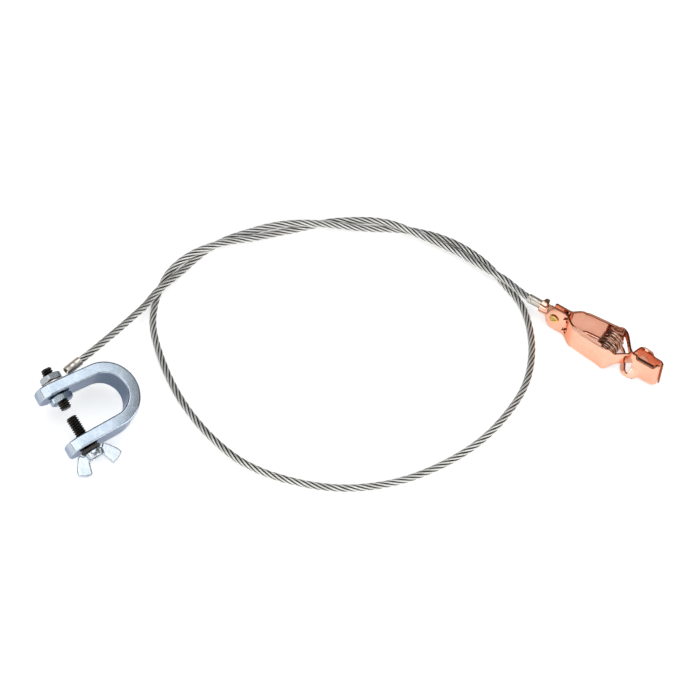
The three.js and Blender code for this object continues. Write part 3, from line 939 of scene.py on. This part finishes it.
# the free lever's lower leg
BOW_LINE = [(56.6, 2.5), (58.4, -0.8), (60.2, -4.4), (61.8, -6.1), (63.8, -6.5), (65.8, -5.4), (67.8, -3.6)]


class Lever:
    """A bent line with x as its measure, for cutting outlines by x and height.
    A curl is the x where it starts, is full, fades and ends, then half the flat width and the radius."""

    def __init__(self, line, inward, curls):
        self.line = bent(line, 1.6)
        self.along = lengths(self.line)
        self.inward = inward
        self.curls = curls

    def s(self, x):
        return float(np.interp(x, self.line[:, 0], self.along))

    def x(self, s):
        return np.interp(s, self.along, self.line[:, 0])

    def profile(self, s):
        """The flat half width and the curl of the edges at this place."""
        x = self.x(s)
        flat_half, curve = np.full_like(x, 7.9), np.zeros_like(x)
        for start, full, fade, end, half, radius in self.curls:
            k = step_up(x, start, full) * (1 - step_up(x, fade, end))
            here = (x >= start) & (x <= end)
            flat_half = np.where(here, half, flat_half)
            curve = np.where(here, k / radius, curve)
        return flat_half, curve

    def surface(self):
        return line_surface(self.line, self.inward, CLIP_H / 2, self.profile)

    def outline(self, corners, **kw):
        return rounded_loop([(self.s(c[0]), *c[1:]) for c in corners], **kw)

    def box(self, x0, x1, z0, z1, radius=0.4):
        return self.outline([(x0, z0), (x1, z0), (x1, z1), (x0, z1)], radius=radius, step=0.5)


def painted_edge_shade(points, faces):
    """How much painted shade the copper gets at each vertex: on the cut edges and on the tops of the lips."""
    return np.maximum(rim_of(points, faces), 0.8 * step_up(points[:, 2], CLIP_H - 0.85, CLIP_H - 0.35))


cable = Lever(CABLE_LINE, 1.0, [
    (-5.0, -4.0, 8.3, 10.6, 0.0, 3.25),  # the crimp round the sleeve
    (26.5, 30.0, 46.0, 49.5, 7.2, 1.3),  # the belly's lips
    (64.0, 65.5, 75.5, 77.5, 8.1, 0.9),  # the far jaw's lips
])
cable_outline = cable.outline([
    (4.6, 3.8, 0.5), (5.6, 1.0, 0.5), (7.6, 0.6, 0.6), (9.0, 4.4, 0.8), (12.6, 0, 1.5), (27.0, 0, 2.0),
    (30.5, -0.4, 2.0), (45.5, -0.4, 2.0), (49.6, 0, 1.2), (53.4, 3.3, 1.5), (56.2, 4.1, 2.0), (61.6, 4.4, 1.2),
    (64.2, 0, 1.0), (66, -0.5, 1.0), (75, -0.5, 1.0), (78.65, 0.3, 0.8), (78.65, 15.4, 0.8), (72.3, 15.7, 1.0),
    (70.8, 18.3, 0.8), (66, 18.4, 1.0), (63.9, 18, 1.0), (60.7, 12.5, 1.5), (53.3, 12.5, 1.2),
    (50.4, 18, 1.0), (45.5, 18.4, 2.0), (30.5, 18.4, 2.0), (27.0, 18, 2.0), (11.6, 18, 1.2), (9.0, 13.6, 0.8),
    (7.6, 17.4, 0.6), (5.6, 17.0, 0.5), (4.6, 14.2, 0.5)], step=0.5)
cable_holes = [
    circle(cable.s(BRASS_AT[0]), BRASS_AT[2], 1.9, 28),
    cable.box(20.6, 23.2, 2.8, 5.8),
    cable.box(20.6, 23.2, 12.2, 15.2),
]
cable_shape = sheet_metal(cable_outline, cable_holes, SHEET, SHEET_EDGE, cable.surface(), grid=(0.7, 1.0))
add("cable_lever_sheet", cable_shape, CLIP, copper, "lead", ["cable_lever"],
    rim=painted_edge_shade(*cable_shape))

free = Lever(FREE_LINE, -1.0, [
    (26.0, 29.5, 47.0, 50.6, 7.2, 1.3),  # the belly's lips
    (64.5, 66.0, 75.4, 76.8, 7.4, 1.1),  # the near jaw's lips
])
bow = bent(BOW_LINE, 1.6)


def free_surface(flat):
    """The free lever, with its lower leg bowed out under the jaw."""
    points = free.surface()(flat)
    x = points[:, 0]
    straight = np.interp(x, free.line[:, 0], free.line[:, 1])
    bowed = np.interp(x, bow[:, 0], bow[:, 1])
    weight = 1 - step_up(flat[:, 1], 2.9, 6.4)
    span = (x > BOW_LINE[0][0]) & (x < BOW_LINE[-1][0])
    points[:, 1] += np.where(span, (bowed - straight) * weight, 0)
    # the leg leans: its foot stands further back than its top
    lean = step_up(x, 56.4, 58.6) * (1 - step_up(x, 61.0, 64.5)) * (1 - np.clip(flat[:, 1] / 2.9, 0, 1))
    points[:, 0] -= 2.4 * lean
    return points


free_outline = free.outline([
    (12.8, 0, 1.2), (26.5, 0, 2.0), (30, -0.5, 2.0), (46.5, -0.5, 2.0), (51, 0, 1.5), (62, 0, 1.5), (66, 0, 1.0),
    (68, 0.9, 1.5), (75, 0.9, 1.0), (77.9, 1.6, 1.2), (77.9, 17.8, 0.8), (75.6, 19.4, 1.0), (66.2, 19.4, 1.0),
    (63, 18, 1.5), (51, 18, 1.5), (46.5, 18.5, 2.0), (30, 18.5, 2.0), (26.5, 18, 2.0), (12.8, 18, 1.2),
    (12.8, 13.2, 0.5), (16.8, 13.2, 1.5), (16.8, 4.2, 1.5), (12.8, 4.2, 0.5)], step=0.5)
free_window = free.outline([(51.6, 2.9), (63.2, 2.9), (63.2, 13), (51.6, 13)], radius=1.4, step=0.5)
free_sheet = sheet_metal(free_outline, [free_window], SHEET, SHEET_EDGE, free_surface, grid=(0.7, 1.0))

# two tabs of the free lever, hooked through the other one
tab_line = bent([(21.9, 0.6), (21.9, -2.9), (21.5, -3.7), (20.3, -3.95)], 0.9, 0.1)
tab_long = float(np.sum(np.linalg.norm(np.diff(tab_line, axis=0), axis=1)))
tabs = []
for low in (3.2, 12.6):
    outline = rounded_loop([(0, low), (tab_long, low, 0.9), (tab_long, low + 2.2, 0.9), (0, low + 2.2)], step=0.4)
    tabs.append(sheet_metal(outline, [], 0.95, 0.25, line_surface(tab_line, 1.0), grid=(0.3, 0.5)))
free_shape = joined(free_sheet, *tabs)
add("free_lever_sheet", free_shape, CLIP, copper, "free_lever", ["free_lever"],
    rim=painted_edge_shade(*free_shape))

# spring between the two levers
SPRING_X, SPRING_R, SPRING_WIRE, SPRING_TURNS = 46.9, 5.4, 1.3, 6.5
SPRING_FROM, SPRING_TO = -6.2, 5.1


def in_row(place, p):
    """A point of an end's own frame, in metres in the row frame."""
    return Vector((place[:3, :3] @ np.asarray(p, float) + place[:3, 3]) * MM)


def spring_shape(per_turn=36, sides=14):
    n = int(SPRING_TURNS * per_turn)
    t = np.linspace(0, 1, n + 1)
    # the end coils lie closer than the working ones
    rise = t - 0.055 * np.sin(2 * math.pi * t)
    a = math.pi * (1 + 2 * SPRING_TURNS * t)
    line = np.stack([SPRING_X + SPRING_R * np.cos(a), SPRING_FROM + (SPRING_TO - SPRING_FROM) * rise,
                     CLIP_H / 2 + SPRING_R * np.sin(a)], 1)
    way = np.gradient(line, axis=0)
    way /= np.linalg.norm(way, axis=1)[:, None]
    out = line - [SPRING_X, 0, CLIP_H / 2]
    out[:, 1] = 0
    out /= np.linalg.norm(out, axis=1)[:, None]
    side = np.cross(way, out)
    points, r = [], SPRING_WIRE / 2
    for k in range(n + 1):
        for i in range(sides):
            b = 2 * math.pi * i / sides
            points.append(line[k] + (out[k] * math.cos(b) + side[k] * math.sin(b)) * r)
    faces = ring_faces(n + 1, sides)
    faces.append(list(range(sides))[::-1])
    faces.append([n * sides + i for i in range(sides)])
    return np.array(points), faces


spring = add("coil_spring_wire", spring_shape(), CLIP, spring_wire, None, flat_faces=False, sharp=60)
outward(spring)
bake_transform(spring)
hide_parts("coil_spring")

# brass screw, with a slot cut across its head
head = [(0.0, 0.0), (0.02, 1.0), (0.12, 1.9), (0.35, 2.45), (0.62, 2.68), (0.95, 2.7), (0.99, 2.6), (1.0, 1.6),
        (3.3, 1.6), (3.3, 0.0)]
screw = add("brass_screw_body", lathe(BRASS_AT, (0, 1, 0), head, 48), CLIP, brass, None)
outward(screw)
cutter_mesh = bpy.data.meshes.new("slot_cutter")
cutter = bpy.data.objects.new("slot_cutter", cutter_mesh)
bpy.context.scene.collection.objects.link(cutter)
cut_points = np.array([(x, y, z) for x in (-3.5, 3.5) for y in (-1.0, 0.55) for z in (-0.32, 0.32)], float)
turned = Matrix.Rotation(math.radians(-35), 3, "Y")
cut_points = [in_row(CLIP, np.array(turned @ Vector(p)) + BRASS_AT) for p in cut_points]
cutter_mesh.from_pydata([tuple(p) for p in cut_points], [],
                        [(0, 1, 3, 2), (4, 6, 7, 5), (0, 4, 5, 1), (2, 3, 7, 6), (0, 2, 6, 4), (1, 5, 7, 3)])
outward(cutter)
cut = screw.modifiers.new("slot", "BOOLEAN")
cut.operation, cut.object, cut.solver = "DIFFERENCE", cutter, "EXACT"
applied(screw)
bpy.data.objects.remove(cutter)
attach(screw, "lead")
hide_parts("brass_screw")

# ferrule on the rope's end
sleeve = tube((-3.4, 1, 9), (1, 0, 0), 13.0, BARREL_R, BARREL_BORE, pressed([5.6, 8.0, 10.4], 0.14, 0.9, 4))
add("rope_ferrule", sleeve, CLIP, ferrule, "lead", ["rope_sleeve"])

# ---- floor and light
floor_mesh = bpy.data.meshes.new("floor")
FLOOR_HALF, FLOOR_Z = 6.0, -0.0002
floor_corners = [(x * FLOOR_HALF, y * FLOOR_HALF, FLOOR_Z) for x, y in ((-1, -1), (1, -1), (1, 1), (-1, 1))]
floor_mesh.from_pydata(floor_corners, [], [(0, 1, 2, 3)])
floor = bpy.data.objects.new("floor", floor_mesh)
bpy.context.scene.collection.objects.link(floor)
floor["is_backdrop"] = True
floor_material = bpy.data.materials.new("floor")
floor_material.use_nodes = True
floor_shader = floor_material.node_tree.nodes["Principled BSDF"]
floor_shader.inputs["Base Color"].default_value = (0.93, 0.93, 0.93, 1)
floor_shader.inputs["Roughness"].default_value = 0.9
floor_shader.inputs["Specular IOR Level"].default_value = 0.1
floor_shader.inputs["Emission Color"].default_value = (1, 1, 1, 1)
floor_shader.inputs["Emission Strength"].default_value = 0.46
floor_mesh.materials.append(floor_material)


def softbox(name, at, width, height, power):
    """A rectangular lamp that faces the lead."""
    light = bpy.data.lights.new(name, "AREA")
    light.shape = "RECTANGLE"
    light.size, light.size_y = width, height
    light.energy = power
    box = bpy.data.objects.new(name, light)
    box.location = at
    box.rotation_mode = "QUATERNION"
    box.rotation_quaternion = (-Vector(at)).to_track_quat("-Z", "Y")
    bpy.context.scene.collection.objects.link(box)


softbox("right_panel", (1.45, -0.5, 0.75), 1.0, 0.9, 8)
softbox("left_panel", (-1.02, -0.94, 0.80), 0.9, 0.7, 4)
softbox("front_panel", (0, -1.6, 0.9), 2.4, 1.2, 12)

# a studio of a bright ceiling, a dark band below it and pale walls down to the floor
world = bpy.data.worlds.new("world")
bpy.context.scene.world = world
world.use_nodes = True
tree = world.node_tree
background = tree.nodes["Background"]
coords = tree.nodes.new("ShaderNodeTexCoord")
split = tree.nodes.new("ShaderNodeSeparateXYZ")
room = tree.nodes.new("ShaderNodeValToRGB")
tree.links.new(coords.outputs["Generated"], split.inputs[0])
tree.links.new(split.outputs["Z"], room.inputs["Fac"])
tree.links.new(room.outputs["Color"], background.inputs["Color"])
stops = [(0.0, 0.40), (0.16, 0.36), (0.30, 0.05), (0.85, 0.03), (0.925, 0.58), (1.0, 0.95)]
while len(room.color_ramp.elements) < len(stops):
    room.color_ramp.elements.new(0.5)
for element, (at, value) in zip(room.color_ramp.elements, stops):
    element.position = at
    element.color = (0.96 * value, 0.985 * value, value, 1)
background.inputs["Strength"].default_value = 2.8
bpy.context.scene.view_settings.view_transform = "Standard"

# ---- sizes, and the end
bpy.context.view_layer.update()
low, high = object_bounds()
